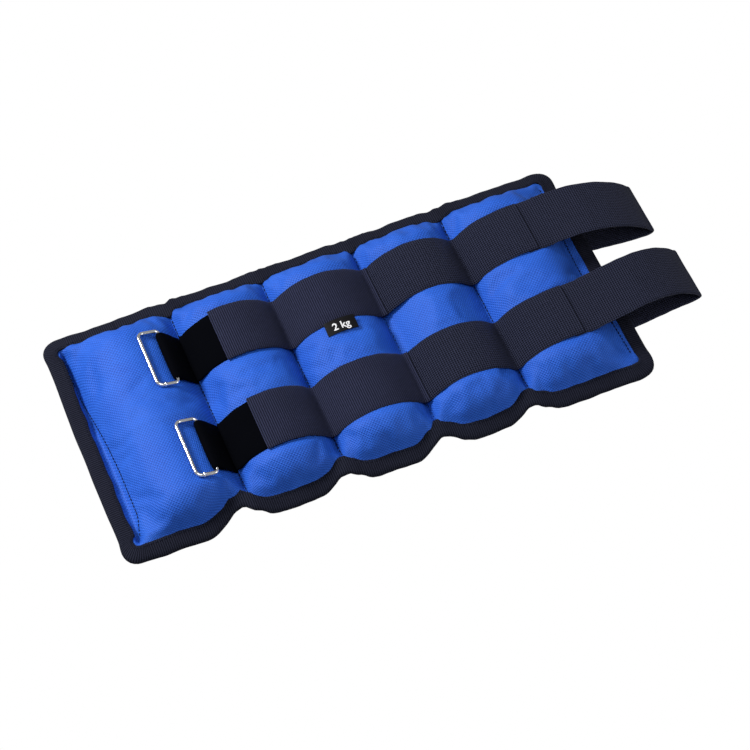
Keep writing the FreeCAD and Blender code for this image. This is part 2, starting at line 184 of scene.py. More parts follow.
def back_edge(x):
    """The distance along the outline of a place on its back edge."""
    return x + LONG / 2


def front_edge(x):
    """The same for its front edge, which is walked backwards."""
    return LONG + 2 * QUARTER + WIDE + LONG / 2 - x


def rim_height(p, n):
    """The middle height of the edge tape, and its slope up towards the cuff's inside."""
    long_share = n.y * n.y
    near_seam = max(bell((p.x - seam) / (11 * MM)) for seam in SEAMS)
    side = 1 if n.y > 0 else -1
    height = mix(-1.2, 2.0, near_seam) if side > 0 else mix(-1.6, 2.6, near_seam)
    slope = mix(0.30, 0.12, near_seam)
    height = long_share * height + (1 - long_share) * -1.4
    slope = long_share * slope + (1 - long_share) * 0.10
    ripple = 0.5 * lumps(p.x, p.y, 16 * MM, 1.3)
    return SEAM_Z + (height + ripple) * MM, slope


def outline_at(x, y):
    """How far inside the outline a place is, and the outline's outward direction there."""
    side, end = (1 if y > 0 else -1), (1 if x > 0 else -1)
    y_even = y - side * side_wave(x, side) * min(abs(y) / CUFF_SIDE, 1.0)
    qx, qy = abs(x) - LONG / 2, abs(y_even) - WIDE / 2
    if qx > 0 and qy > 0:
        n = Vector((end * qx, side * qy)).normalized()
        return CORNER - hypot(qx, qy), n
    if qy >= qx:
        return CORNER - qy, Vector((0, side))
    return CORNER - qx, Vector((end, 0))


# ---------------------------------------------------------------- pockets

END_STITCH = CUFF_END - TAPE_WIDTH - 4.6 * MM     # where the end pockets are sewn off, on average


def end_stitch(y, end):
    """How far the sewn line across an end bows from its average, towards the cuff's end."""
    if end < 0:
        slant = mix(-3.2 * MM, 3.6 * MM, ease((y + 32 * MM) / (108 * MM)))
        return slant + 3.5 * MM * ease((-y - 58 * MM) / (18 * MM))
    return mix(2.5 * MM, -1.5 * MM, bell(y / (45 * MM)))


def arch(middle, half, foot, top, x):
    """The height at x of a circle's arch from foot to foot, carried on downwards past them."""
    rise = top - foot
    radius = (half * half + rise * rise) / (2 * rise)
    d = min(abs(x - middle), 0.98 * radius)
    return top - radius + sqrt(radius * radius - d * d)


def smooth_top(a, b, reach):
    """The greater of two heights, rounded over where they are within that reach of each other."""
    h = min(max(0.5 + 0.5 * (b - a) / reach, 0.0), 1.0)
    return mix(a, b, h) + reach * h * (1 - h)


STRAP_FOOT = SEAM_Z + 2.4 * MM   # where a strap's arches over two pockets cross, above their seam
STRAP_TOP = CROWN_Z + 0.35 * MM
VALLEY = 9 * MM                  # the arches are rounded together where their heights are this close
PITCH = SEAMS[1] - SEAMS[0]
MIDDLES = [SEAMS[0] - PITCH / 2] + [(a + b) / 2 for a, b in zip(SEAMS, SEAMS[1:])] + [SEAMS[-1] + PITCH / 2]


def strap_under(x):
    """The height of a strap's underside, which dips where it is sewn down at the seams."""
    if x > MIDDLES[-1] + 2 * MM:
        return STRAP_TOP
    heights = sorted((arch(m, PITCH / 2, STRAP_FOOT, STRAP_TOP, x) for m in MIDDLES), reverse=True)
    return smooth_top(heights[0], heights[1], VALLEY)


def pocket_span(k):
    """Where pocket k's filling starts and ends along the cuff, before an end's sewn line bows."""
    left = SEAMS[k - 2] if k > 1 else -END_STITCH
    right = SEAMS[k - 1] if k < 5 else END_STITCH
    return left, right


ARCH_RISE = 0.32                 # of a pocket's arch, as a share of its length


def cover_height(k, x, y, c):
    """The top of pocket k before it is filled; c goes from 0 to 1 between its two sewn lines."""
    inset, n = outline_at(x, y)
    edge_z, slope = rim_height(Vector((x, y)), n)
    edge_z += slope * (min(inset, TAPE_WIDTH) - CLOTH_EDGE)
    under_tape = ease((inset - CLOTH_EDGE) / CLOTH_EDGE)
    side_inset = outline_at(max(min(x, LONG / 2), -LONG / 2), y)[0]
    t = min(max((side_inset - TAPE_WIDTH) / SHOULDER, 0.0), 1.0)
    across = (1 - (1 - t) ** 2) ** 0.62
    along = max(arch(0.5, 0.5, 0.0, ARCH_RISE, c) / ARCH_RISE, 0.0) if 0 < c < 1 else 0.0
    at_end = ease((abs(x) - END_STITCH + 12 * MM) / (8 * MM))
    foot = mix(edge_z + 0.8 * MM * under_tape, SEAM_Z + 0.9 * MM, ease((inset - TAPE_WIDTH) / (18 * MM)))
    foot += 1.2 * MM * at_end * under_tape
    from_end = (c if k == 1 else 1 - c) if k in (1, 5) else 1.0
    fill = along ** mix(1.5, 0.92, ease(from_end / 0.35)) * across
    top = CROWN_Z + 1.0 * MM + 1.3 * MM * lumps(x, y, 30 * MM, k)
    z = mix(foot, top, fill)
    # gathers that run in from the edge tape, strongest by the seams
    near_tape = bell((side_inset - TAPE_WIDTH - 5 * MM) / (9 * MM))
    near_seam = max(bell((x - seam) / (15 * MM)) for seam in SEAMS)
    gather = sin(2 * pi * x / (12.5 * MM) + 3 * lumps(x, y, 24 * MM, 5.0))
    z += near_tape * (0.5 + 1.3 * near_seam) * MM * gather * ease(along * 3) * under_tape
    return z


def lining_height(k, x, y, c):
    """The underside of pocket k, flat where it lies and curving up to its sewn lines."""
    inset, n = outline_at(x, y)
    edge_z, slope = rim_height(Vector((x, y)), n)
    under_tape = ease((inset - CLOTH_EDGE) / CLOTH_EDGE)
    edge_z += slope * (min(inset, TAPE_WIDTH) - CLOTH_EDGE) - 0.8 * MM * under_tape
    left, right = pocket_span(k)
    near = min(c, 1 - c) * (right - left)
    rise = max(0.0, 1 - near / UNDER_CURVE) ** 1.7
    side = max(0.0, 1 - max(inset - TAPE_WIDTH, 0.0) / UNDER_CURVE) ** 2
    z = 0.9 * MM * (1 + 0.6 * lumps(x, y, 20 * MM, 9.0 + k))
    z = mix(z, SEAM_Z - 0.7 * MM, rise)
    z = mix(z, edge_z, side)
    return max(z, 0.0)


RING_ARCH = -139.3 * MM, 35.2 * MM     # the middle and half length of pocket 1's arch under the tabs
TABS_END = SEAMS[0] - 24 * MM


def strap_cap(x, y):
    """The greatest height of the cover at a place: the straps hold it down, and it swells beside them."""
    from_strap = min(abs(y - STRAP_Y[side]) for side in STRAP_Y) - STRAP_WIDTH / 2
    if x > SEAMS[0]:
        held_down = strap_under(x)
    else:
        held_down = arch(*RING_ARCH, SEAM_Z + 0.9 * MM, CROWN_Z, x) + 0.1 * MM
    free = 3.0 * MM * ease((from_strap + 0.5 * MM) / (9 * MM))
    if x < TABS_END:
        free = max(free, 2.0 * MM * ease((TABS_END - x) / (12 * MM)))
    return held_down - 0.3 * MM + free


CLOTH_CORNER = CORNER - CLOTH_EDGE
FLAP_TURNS = (22, 34, 46, 60, 75, 90)  # degrees round a corner, of the cloth's cells past an end's sewn line


def pocket_columns(k):
    """The columns of pocket k's cloth cells, each with its x and its share from one sewn line to the next."""
    left, right = pocket_span(k)
    count = round((right - left) / CELL)
    columns = [(mix(left, right, i / count), i / count) for i in range(count + 1)]
    flap = [LONG / 2 + CLOTH_CORNER * sin(radians(angle)) for angle in FLAP_TURNS]
    flap = [x for x in flap if x > END_STITCH + 1.5 * MM]
    if k == 1:
        columns = [(-x, 0.0) for x in reversed(flap)] + columns
    if k == 5:
        columns += [(x, 1.0) for x in flap]
    return columns


def cloth_place(k, x, j, rows):
    """Where the column at x of pocket k's cloth has its row j. The outer rows lie under the edge tape, and
    near an end the columns bow as its sewn line does."""
    turn = asin(min(max(abs(x) - LONG / 2, 0.0) / CLOTH_CORNER, 1.0))
    ends = []
    for side in (-1, 1):
        centre = Vector((max(min(x, LONG / 2), -LONG / 2), side * WIDE / 2))
        ends.append(rim(centre, Vector((copy_sign(sin(turn), x), side * cos(turn))), CLOTH_EDGE).y)
    if j in (0, rows):
        y = ends[0] if j == 0 else ends[1]
    else:
        margin = min(TAPE_WIDTH - CLOTH_EDGE, (ends[1] - ends[0]) / rows)
        y = mix(ends[0] + margin, ends[1] - margin, (j - 1) / (rows - 2))
    if k not in (1, 5):
        return x, y
    end = -1 if k == 1 else 1
    past = abs(x) - END_STITCH
    share = ease(1 + past / (35 * MM)) if past < 0 else ease(1 - past / (4 * MM))
    return x + end * end_stitch(y, end) * share, y


def pocket_mesh(k):
    """Pocket k's cover and lining as one closed bag, on a grid of cloth cells."""
    columns = pocket_columns(k)
    last = len(columns) - 1
    rows = round(2 * (CUFF_SIDE - TAPE_WIDTH) / CELL) + 2
    mesh = bmesh.new()
    bmesh.ops.create_grid(mesh, x_segments=last, y_segments=rows, size=0.5)

    def cell(v):
        return round((v.co.x + 0.5) * last), round((v.co.y + 0.5) * rows)

    def top(i, j):
        x, c = columns[i]
        x, y = cloth_place(k, x, j, rows)
        return Vector((x, y, cover_height(k, x, y, c)))

    # the pattern on the cloth follows the distances over the cover
    uv = mesh.loops.layers.uv.new("cloth")
    lengths_x, lengths_y = [0.0], [0.0]
    middle_row, middle_column = rows // 2, len(columns) // 2
    for i in range(last):
        lengths_x.append(lengths_x[-1] + (top(i + 1, middle_row) - top(i, middle_row)).length)
    for j in range(rows):
        lengths_y.append(lengths_y[-1] + (top(middle_column, j + 1) - top(middle_column, j)).length)
    for face in mesh.faces:
        for loop in face.loops:
            i, j = cell(loop.vert)
            loop[uv].uv = (lengths_x[i] + CLOTH_SHIFT * k, lengths_y[j])
    under = bmesh.ops.duplicate(mesh, geom=mesh.verts[:] + mesh.edges[:] + mesh.faces[:])
    lower = {g for g in under["geom"] if isinstance(g, bmesh.types.BMVert)}
    for v in mesh.verts:
        i, j = cell(v)
        x, c = columns[i]
        x, y = cloth_place(k, x, j, rows)
        if i in (0, last) or j in (0, rows):
            inset, n = outline_at(x, y)
            z = rim_height(Vector((x, y)), n)[0] if inset < TAPE_WIDTH + 8 * MM else SEAM_Z
            z = mix(z, SEAM_Z, ease((inset - TAPE_WIDTH) / (10 * MM)))
        elif v in lower:
            z = lining_height(k, x, y, c)
        else:
            z = cover_height(k, x, y, c)
        v.co = (x, y, z)
    bmesh.ops.reverse_faces(mesh, faces=[f for f in mesh.faces if all(v in lower for v in f.verts)])
    for face in mesh.faces:
        face.material_index = 1 if all(v in lower for v in face.verts) else 0
    bmesh.ops.remove_doubles(mesh, verts=mesh.verts[:], dist=0.02 * MM)
    bmesh.ops.recalc_face_normals(mesh, faces=mesh.faces[:])
    crease = mesh.edges.layers.float.new("crease_edge")
    for edge in mesh.edges:
        kinds = {f.material_index for f in edge.link_faces}
        edge[crease] = 1.0 if len(kinds) == 2 else 0.0
    return mesh


def finished(name, mesh, *materials, smooth=True):
    """A bmesh made an object at the origin, with its materials."""
    data = bpy.data.meshes.new(name)
    for face in mesh.faces:
        face.smooth = smooth
    mesh.to_mesh(data)
    mesh.free()
    if smooth:
        data.set_sharp_from_angle(angle=radians(55))
    for material in materials:
        data.materials.append(material)
    piece = bpy.data.objects.new(name, data)
    bpy.context.scene.collection.objects.link(piece)
    return piece


BAG_CLEAR = Vector((9.0, 16.0, 4.2)) * MM    # from a bag to its pocket's sewn lines, edge tape and cover


def sand_bag(k):
    """The bag of sand inside pocket k: crowned both ways, and clear of the pocket's cloths all round."""
    left, right = pocket_span(k)
    half_x, half_y = (right - left) / 2 - BAG_CLEAR.x, CUFF_SIDE - TAPE_WIDTH - BAG_CLEAR.y
    mesh = bmesh.new()
    bmesh.ops.create_cube(mesh, size=2.0)
    bmesh.ops.subdivide_edges(mesh, edges=mesh.edges[:], cuts=15, use_grid_fill=True)
    for v in mesh.verts:
        a, b, c = v.co
        crown = sqrt(max((1 - abs(a) ** 3) * (1 - abs(b) ** 6), 0.0))
        x = (left + right) / 2 + a * half_x * (1 - 0.05 * (1 - b * b) * abs(a) ** 4)
        y = b * half_y * (1 - 0.04 * (1 - a * a) * abs(b) ** 4)
        share = (x - left) / (right - left)
        top = min(cover_height(k, x, y, share), strap_cap(x, y)) - BAG_CLEAR.z
        bottom = lining_height(k, x, y, share) + BAG_CLEAR.z / 2
        v.co = (x, y, (top + bottom) / 2 + (top - bottom) / 2 * c * (0.35 + 0.65 * crown))
    uv = mesh.loops.layers.uv.new("cloth")
    for face in mesh.faces:
        for loop in face.loops:
            loop[uv].uv = (loop.vert.co.x, loop.vert.co.y)
    return mesh


FILL_STEPS = 20


def fill_pockets(pockets):
    """Blows the sewn bags up a little as cloth, so that they strain and pucker at what is sewn down."""
    scene = bpy.context.scene
    for piece, sewn in pockets:
        group = piece.vertex_groups.new(name="sewn")
        group.add(sewn, 1.0, "REPLACE")
        cloth = piece.modifiers.new("Filling", "CLOTH")
        settings = cloth.settings
        settings.quality = 7
        settings.mass = 0.25
        settings.vertex_group_mass = "sewn"
        settings.use_pressure = True
        settings.uniform_pressure_force = 3.5
        settings.shrink_min = -0.03
        settings.tension_stiffness = settings.compression_stiffness = 18
        settings.bending_stiffness = 0.35
        settings.effector_weights.gravity = 0
        cloth.collision_settings.use_collision = False
        cloth.point_cache.frame_start, cloth.point_cache.frame_end = 1, FILL_STEPS
    for step in range(1, FILL_STEPS + 1):
        scene.frame_set(step)
    graph = bpy.context.evaluated_depsgraph_get()
    for piece, _ in pockets:
        swollen = piece.evaluated_get(graph).to_mesh()
        places = [v.co.copy() for v in swollen.vertices]
        piece.evaluated_get(graph).to_mesh_clear()
        piece.modifiers.clear()
        piece.vertex_groups.clear()
        for v, place in zip(piece.data.vertices, places):
            move = place - v.co
            near = min([abs(v.co.x - seam) for seam in SEAMS] + [outline_at(v.co.x, v.co.y)[0] - TAPE_WIDTH])
            most = mix(3.6, 1.7, ease((near - 8 * MM) / (14 * MM))) * MM
            if move.length > most:
                move.length = most
            v.co += move
    scene.frame_set(1)


# ---------------------------------------------------------------- materials

class Signal:
    """One output of a material's node, so that sums of pattern values can be written out."""

    def __init__(self, paint, socket):
        self.paint, self.socket = paint, socket

    def math(self, operation, *values):
        return self.paint.node("ShaderNodeMath", {"operation": operation}, values)

    def __add__(self, other):
        return self.math("ADD", self, other)

    def __mul__(self, other):
        return self.math("MULTIPLY", self, other)

    def __sub__(self, other):
        return self.math("SUBTRACT", self, other)

    def __rsub__(self, other):
        return self.math("SUBTRACT", other, self)

    __radd__ = __add__
    __rmul__ = __mul__

    def wave(self):
        return self.math("SINE", self)

    def size(self):
        return self.math("ABSOLUTE", self)

    def power(self, exponent):
        return self.math("POWER", self, exponent)


class Paint:
    """A material on the Principled shader, whose fixed values are given by socket name."""

    def __init__(self, name, **fixed):
        self.material = bpy.data.materials.new(name)
        self.material.use_nodes = True
        self.tree = self.material.node_tree
        self.shader = self.tree.nodes["Principled BSDF"]
        for socket, value in fixed.items():
            self.shader.inputs[socket.replace("_", " ")].default_value = value

    def node(self, kind, settings, values, output=0):
        """A node of that kind, with its settings and then the values or links of its sockets."""
        node = self.tree.nodes.new(kind)
        for name, value in settings.items():
            setattr(node, name, value)
        for name, value in (values.items() if isinstance(values, dict) else enumerate(values)):
            self.feed(node.inputs[name], value)
        return Signal(self, node.outputs[output])

    def feed(self, socket, value):
        if isinstance(value, Signal):
            self.tree.links.new(value.socket, socket)
        else:
            socket.default_value = value

    def along_cloth(self):
        """The two distances along the piece's cloth, in metres."""
        place = self.node("ShaderNodeUVMap", {"uv_map": "cloth"}, [])
        return [self.node("ShaderNodeSeparateXYZ", {}, [place], axis) for axis in (0, 1)]

    def patches(self, size, detail=3.0, roughness=0.55):
        """Cloudy unevenness from 0 to 1 that is fixed in the object."""
        place = self.node("ShaderNodeTexCoord", {}, [], 3)
        return self.node("ShaderNodeTexNoise", {}, {
            "Vector": place, "Scale": 1 / size, "Detail": detail, "Roughness": roughness})

    def colour(self, share, first, second):
        return self.node("ShaderNodeMix", {"data_type": "RGBA"}, {0: share, 6: first, 7: second}, 2)

    def finish(self, colour, roughness, height, depth, strength=1.0):
        """Joins the colour, the roughness and a relief of that depth to the shader."""
        self.feed(self.shader.inputs["Base Color"], colour)
        self.feed(self.shader.inputs["Roughness"], roughness)
        relief = self.node("ShaderNodeBump", {}, {"Strength": strength, "Distance": depth, "Height": height})
        self.feed(self.shader.inputs["Normal"], relief)
        return self.material


def rgb(red, green, blue):
    return (red, green, blue, 1.0)


DUSK = rgb(0.55, 0.6, 1.0)       # the cold tint of light on the black cloths
OXFORD_PITCH = 1.2 * MM
WEB_HOLES = 1.7 * MM, 1.5 * MM   # the webbing's pitch along it and across it


def stripes(distance, pitch):
    """Rounded ridges from 0 to 1, one for each pitch."""
    return (distance * (2 * pi / pitch)).wave() * 0.5 + 0.5


def oxford(name, shade=1.0):
    """Strong blue bag cloth with a coarse plain weave. A shade below 1 darkens all its colours as painted
    shade.
    """
    paint = Paint(name, Sheen_Weight=0.05, Sheen_Roughness=0.35, Sheen_Tint=rgb(0.1, 0.35, 1.0),
                  Specular_IOR_Level=0.18)
    u, v = paint.along_cloth()
    weave = ((u * (pi / OXFORD_PITCH)).wave() * (v * (pi / OXFORD_PITCH)).wave()) * 0.5 + 0.5
    ribs = stripes(v, OXFORD_PITCH)
    clouds = paint.patches(28 * MM)
    threads = paint.patches(0.9 * MM, 2.0)
    deep = rgb(0.002 * shade, 0.022 * shade, 0.20 * shade)
    bright = rgb(0.024 * shade, 0.128 * shade, 0.63 * shade)
    worn = rgb(0.038 * shade, 0.17 * shade, 0.72 * shade)
    height = weave * 0.7 + ribs * 0.3
    base = paint.colour((height * 0.85 + threads * 0.45) - 0.12, deep, bright)
    colour = paint.colour((clouds - 0.35) * 0.45, base, worn)
    roughness = 0.46 + (threads * 0.16 + clouds * 0.08)
    return paint.finish(colour, roughness, height + threads * 0.35, 0.35 * MM, 0.9)


def ribbed(name, dark, light, pitch, cross_pitch, depth, cross):
    """Woven tape with ribs across it and a finer thread along it, which has that share of the relief."""
    paint = Paint(name, Sheen_Weight=0.05, Sheen_Roughness=0.45, Sheen_Tint=DUSK, Specular_IOR_Level=0.14,
                  Specular_Tint=DUSK)
    u, v = paint.along_cloth()
    ribs, threads = stripes(u, pitch), stripes(v, cross_pitch)
    fuzz = paint.patches(0.8 * MM, 2.0)
    clouds = paint.patches(20 * MM)
    height = ribs * (1 - cross) + (threads * cross)
    share = height * 1.3 + fuzz * 0.6 + clouds * 0.2 - 0.6
    colour = paint.colour(share, dark, light)
    roughness = 0.6 + (fuzz * 0.14 + clouds * 0.08)
    return paint.finish(colour, roughness, height + fuzz * 0.4, depth, 0.8)


def mesh_webbing(name):
    """Coarse black webbing: a grid of raised crossings with small holes between them."""
    paint = Paint(name, Sheen_Weight=0.02, Sheen_Roughness=0.4, Sheen_Tint=DUSK, Specular_IOR_Level=0.18,
                  Specular_Tint=DUSK)
    u, v = paint.along_cloth()
    along, across = WEB_HOLES
    holes = (u * (pi / along)).wave().size() * (v * (pi / across)).wave().size()
    fuzz = paint.patches(0.8 * MM, 2.0)
    clouds = paint.patches(24 * MM)
    height = 1 - holes
    colour = paint.colour(height.power(1.8) * 1.15 + fuzz * 0.35 - 0.22, rgb(0.0003, 0.0004, 0.0010),
                          rgb(0.024, 0.027, 0.052))
    return paint.finish(colour, 0.5 + (fuzz * 0.2), height + fuzz * 0.3 + clouds * 0.1, 0.55 * MM, 1.0)


def pile_cloth(name, shade, size, depth):
    """Brushed loops or hooks, dull and nearly black."""
    paint = Paint(name, Specular_IOR_Level=0.02)
    loops = paint.patches(size, 3.0, 0.7)
    clouds = paint.patches(15 * MM)
    dark, light = rgb(0.0004, 0.0005, 0.001), rgb(shade, 1.2 * shade, 2.2 * shade)
    colour = paint.colour(loops * 0.7 + clouds * 0.3, dark, light)
    return paint.finish(colour, 0.85 + (loops * 0.1), loops, depth, 1.0)


def chrome():
    """Polished plating with faint drawing marks."""
    paint = Paint("ring_chrome", Metallic=1.0)
    drawn = paint.patches(2.5 * MM, 4.0)
    clouds = paint.patches(9 * MM)
    colour = paint.colour(clouds, rgb(0.78, 0.79, 0.82), rgb(0.93, 0.93, 0.94))
    return paint.finish(colour, 0.12 + (drawn * 0.12), drawn, 0.03 * MM, 0.4)


def satin(name, dark, light, rough):
    """Smooth label ribbon with fine lines along it."""
    paint = Paint(name, Specular_IOR_Level=0.12)
    lines = stripes(paint.along_cloth()[1], 0.5 * MM)
    clouds = paint.patches(6 * MM)
    return paint.finish(paint.colour(lines * 0.5 + clouds * 0.5, dark, light), rough + (clouds * 0.15), lines,
                        0.06 * MM, 0.6)


def spun(name, dark, light):
    """Sewing thread, with the twist's light and dark."""
    paint = Paint(name, Specular_IOR_Level=0.1)
    twist = paint.patches(0.5 * MM, 2.0)
    return paint.finish(paint.colour(twist, dark, light), 0.5 + (twist * 0.2), twist, 0.08 * MM, 0.6)


COVER = oxford("cover_oxford")
# the lining is the cover's own cloth at 0.85, darkened as painted shade for the cuff's underside
SHADED_LINING = oxford("lining_oxford_shaded", 0.85)
CANVAS = ribbed("bag_canvas", rgb(0.10, 0.10, 0.10), rgb(0.2, 0.2, 0.19), 1.2 * MM, 1.2 * MM, 0.2 * MM, 0.5)
GROSGRAIN = ribbed("edge_grosgrain", rgb(0.0005, 0.0006, 0.0012), rgb(0.0135, 0.0145, 0.024),
                   1.5 * MM, 0.9 * MM, 0.35 * MM, 0.2)
ELASTIC_KNIT = ribbed("strap_elastic", rgb(0.0008, 0.0010, 0.002), rgb(0.024, 0.027, 0.058),
                      1.5 * MM, 1.0 * MM, 0.4 * MM, 0.3)
MESH_WEBBING = mesh_webbing("strap_webbing")
PILE_TAPE = pile_cloth("strap_pile", 0.0014, 0.7 * MM, 0.3 * MM)
HOOK_TAPE = pile_cloth("tail_hooks", 0.012, 1.1 * MM, 0.6 * MM)
CHROME = chrome()
LABEL_SATIN = satin("label_satin", rgb(0.001, 0.001, 0.0015), rgb(0.005, 0.005, 0.006), 0.42)
PRINT = satin("label_print", rgb(0.55, 0.55, 0.57), rgb(0.75, 0.75, 0.76), 0.5)
THREAD = spun("dark_thread", rgb(0.001, 0.002, 0.008), rgb(0.006, 0.008, 0.022))

# ---------------------------------------------------------------- pockets and their bags

pockets, bags_to_fill = {}, []
for k in POCKETS:
    mesh = pocket_mesh(k)
    mesh.verts.index_update()
    sewn = []
    for v in mesh.verts:
        inset = outline_at(v.co.x, v.co.y)[0]
        at_seam = min(abs(v.co.x - seam) for seam in SEAMS) < 0.2 * MM
        in_flap = abs(v.co.x) > END_STITCH + end_stitch(v.co.y, copy_sign(1, v.co.x)) - 0.4 * MM
        if inset < TAPE_WIDTH + 0.6 * MM or at_seam or in_flap:
            sewn.append(v.index)
    pockets[k] = finished(f"stuffed_pocket_{k}", mesh, COVER, SHADED_LINING)
    bags_to_fill.append((pockets[k], sewn))

fill_pockets(bags_to_fill)

for k, piece in pockets.items():
    # the straps and the table press on the pocket, and it stays between its seams and inside their fold
    for v in piece.data.vertices:
        x, y, z = v.co
        if outline_at(x, y)[0] > TAPE_WIDTH:
            v.co.z = min(z, strap_cap(x, y))
        near = min(abs(x - seam) for seam in SEAMS)
        if z < SEAM_Z and (k in (2, 3, 4) or near < PITCH / 2):
            v.co.z = max(v.co.z, SEAM_Z - near * tan(FOLD_HALF))
        v.co.z = max(v.co.z, 0.0)
        if k > 1:
            v.co.x = max(v.co.x, SEAMS[k - 2])
        if k < 5:
            v.co.x = min(v.co.x, SEAMS[k - 1])
    rounder = piece.modifiers.new("Rounder", "SUBSURF")
    rounder.levels = rounder.render_levels = 1
    graph = bpy.context.evaluated_depsgraph_get()
    smooth = bpy.data.meshes.new_from_object(piece.evaluated_get(graph))
    piece.modifiers.clear()
    piece.data = smooth

    bag = finished(f"inner_bag_{k}", sand_bag(k), CANVAS)
    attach(piece, f"pocket_{k}")
    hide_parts(f"cover_panel_{k}", f"lining_panel_{k}")
    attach(bag, f"pocket_{k}")
    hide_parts(f"sand_bag_{k}")

POCKET_TREES = {}
for k, piece in pockets.items():
    tree_mesh = bmesh.new()
    tree_mesh.from_mesh(piece.data)
    POCKET_TREES[k] = BVHTree.FromBMesh(tree_mesh)
    tree_mesh.free()


def on_cover(k, x, y):
    """The place and the outward direction on pocket k's cover, found from above it."""
    return POCKET_TREES[k].ray_cast(Vector((x, y, 0.1)), Vector((0, 0, -1)))[:2]


# ---------------------------------------------------------------- woven strips

def strip(name, length, cells_long, crosswise, place, *materials):
    """A woven strip with thickness. crosswise has its rows from 0 to 1, and place gives the point for a
    distance along it, a share across it and a side, 0 below and 1 above."""
    mesh = bmesh.new()
    rows = len(crosswise) - 1
    bmesh.ops.create_grid(mesh, x_segments=cells_long, y_segments=rows, size=0.5)
    made = bmesh.ops.extrude_face_region(mesh, geom=mesh.faces[:])
    upper = [g for g in made["geom"] if isinstance(g, bmesh.types.BMVert)]
    bmesh.ops.translate(mesh, vec=(0, 0, 1), verts=upper)
    uv = mesh.loops.layers.uv.new("cloth")
    start, end = length
    where = {}
    for v in mesh.verts:
        s = mix(start, end, v.co.x + 0.5)
        w = crosswise[round((v.co.y + 0.5) * rows)]
        where[v] = (s, w, round(v.co.z))
    for face in mesh.faces:
        for loop in face.loops:
            s, w, t = where[loop.vert]
            loop[uv].uv = place.flat(s, w, t)
    for v, (s, w, t) in where.items():
        v.co = place(s, w, t)
    bmesh.ops.recalc_face_normals(mesh, faces=mesh.faces[:])
    return finished(name, mesh, *materials)


class EdgeTape:
    """Where the edge tape's points are: s runs along the outline, w from the outer edge inwards."""

    def __call__(self, s, w, t):
        centre, n = walk(s)
        outer_p = rim(centre, n, 0)
        near_seam = n.y * n.y * max(bell((outer_p.x - seam) / (9 * MM)) for seam in SEAMS)
        wide = TAPE_WIDTH * (0.96 + 0.16 * near_seam + 0.09 * lumps(s, 0, 13 * MM, 2.2))
        p = rim(centre, n, w * wide)
        z, slope = rim_height(p, n)
        z += slope * (w - 0.5) * TAPE_WIDTH
        outer = min(w / 0.22, 1.0)
        inner = min((1 - w) / 0.10, 1.0)
        half = TAPE_HALF * sqrt(max(1 - (1 - outer) ** 2, 0.0)) * mix(0.72, 1.0, sqrt(inner))
        half *= 1 + 0.10 * lumps(s, w * TAPE_WIDTH, 9 * MM, 4.4)
        return (p.x, p.y, max(z + (2 * t - 1) * half, 0.3 * MM))

    def flat(self, s, w, t):
        return (s, (w if t else -w) * TAPE_WIDTH)


TAPE_ROWS = [0, 0.03, 0.09, 0.2, 0.35, 0.5, 0.65, 0.8, 0.9, 0.97, 1.0]
edge_tape = EdgeTape()


def tape_piece(name, start, end, nodes, bodies):
    """A stretch of the edge tape, on one pocket or over the seam between two."""
    piece = strip(name, (start, end), round((end - start) / (2.2 * MM)), TAPE_ROWS, edge_tape, GROSGRAIN)
    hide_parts(*nodes)
    if len(bodies) == 1:
        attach(piece, bodies[0])
    else:
        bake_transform(piece)


CENTRES = [(a + b) / 2 for a, b in (pocket_span(k) for k in POCKETS)]
for k in POCKETS[:-1]:
    here, there = CENTRES[k - 1], CENTRES[k]
    bodies = f"pocket_{k}", f"pocket_{k + 1}"
    tape_piece(f"back_edge_tape_{k}", back_edge(here), back_edge(there),
               [f"back_binding_{k + 1}"], bodies)
    tape_piece(f"front_edge_tape_{k}", front_edge(there), front_edge(here),
               [f"front_binding_{k + 1}"], bodies)
tape_piece("tail_end_edge_tape", back_edge(CENTRES[4]), front_edge(CENTRES[4]),
           ["tail_end_binding"], ["pocket_5"])
tape_piece("ring_end_edge_tape", front_edge(CENTRES[0]), back_edge(CENTRES[0]) + ROUND,
           ["ring_end_binding", "back_binding_1", "front_binding_1"], ["pocket_1"])


def smooth_line(points, step):
    """A smooth line through a few given points, as many close ones."""
    points = [Vector(p) for p in points]
    points = [2 * points[0] - points[1]] + points + [2 * points[-1] - points[-2]]
    line = []
    for a, b, c, d in zip(points, points[1:], points[2:], points[3:]):
        count = max(1, round((c - b).length / step))
        for i in range(count):
            t = i / count
            line.append(0.5 * (2 * b + (c - a) * t + (2 * a - 5 * b + 4 * c - d) * t * t
                               + (3 * b - a - 3 * c + d) * t ** 3))
    return line + [points[-2]]


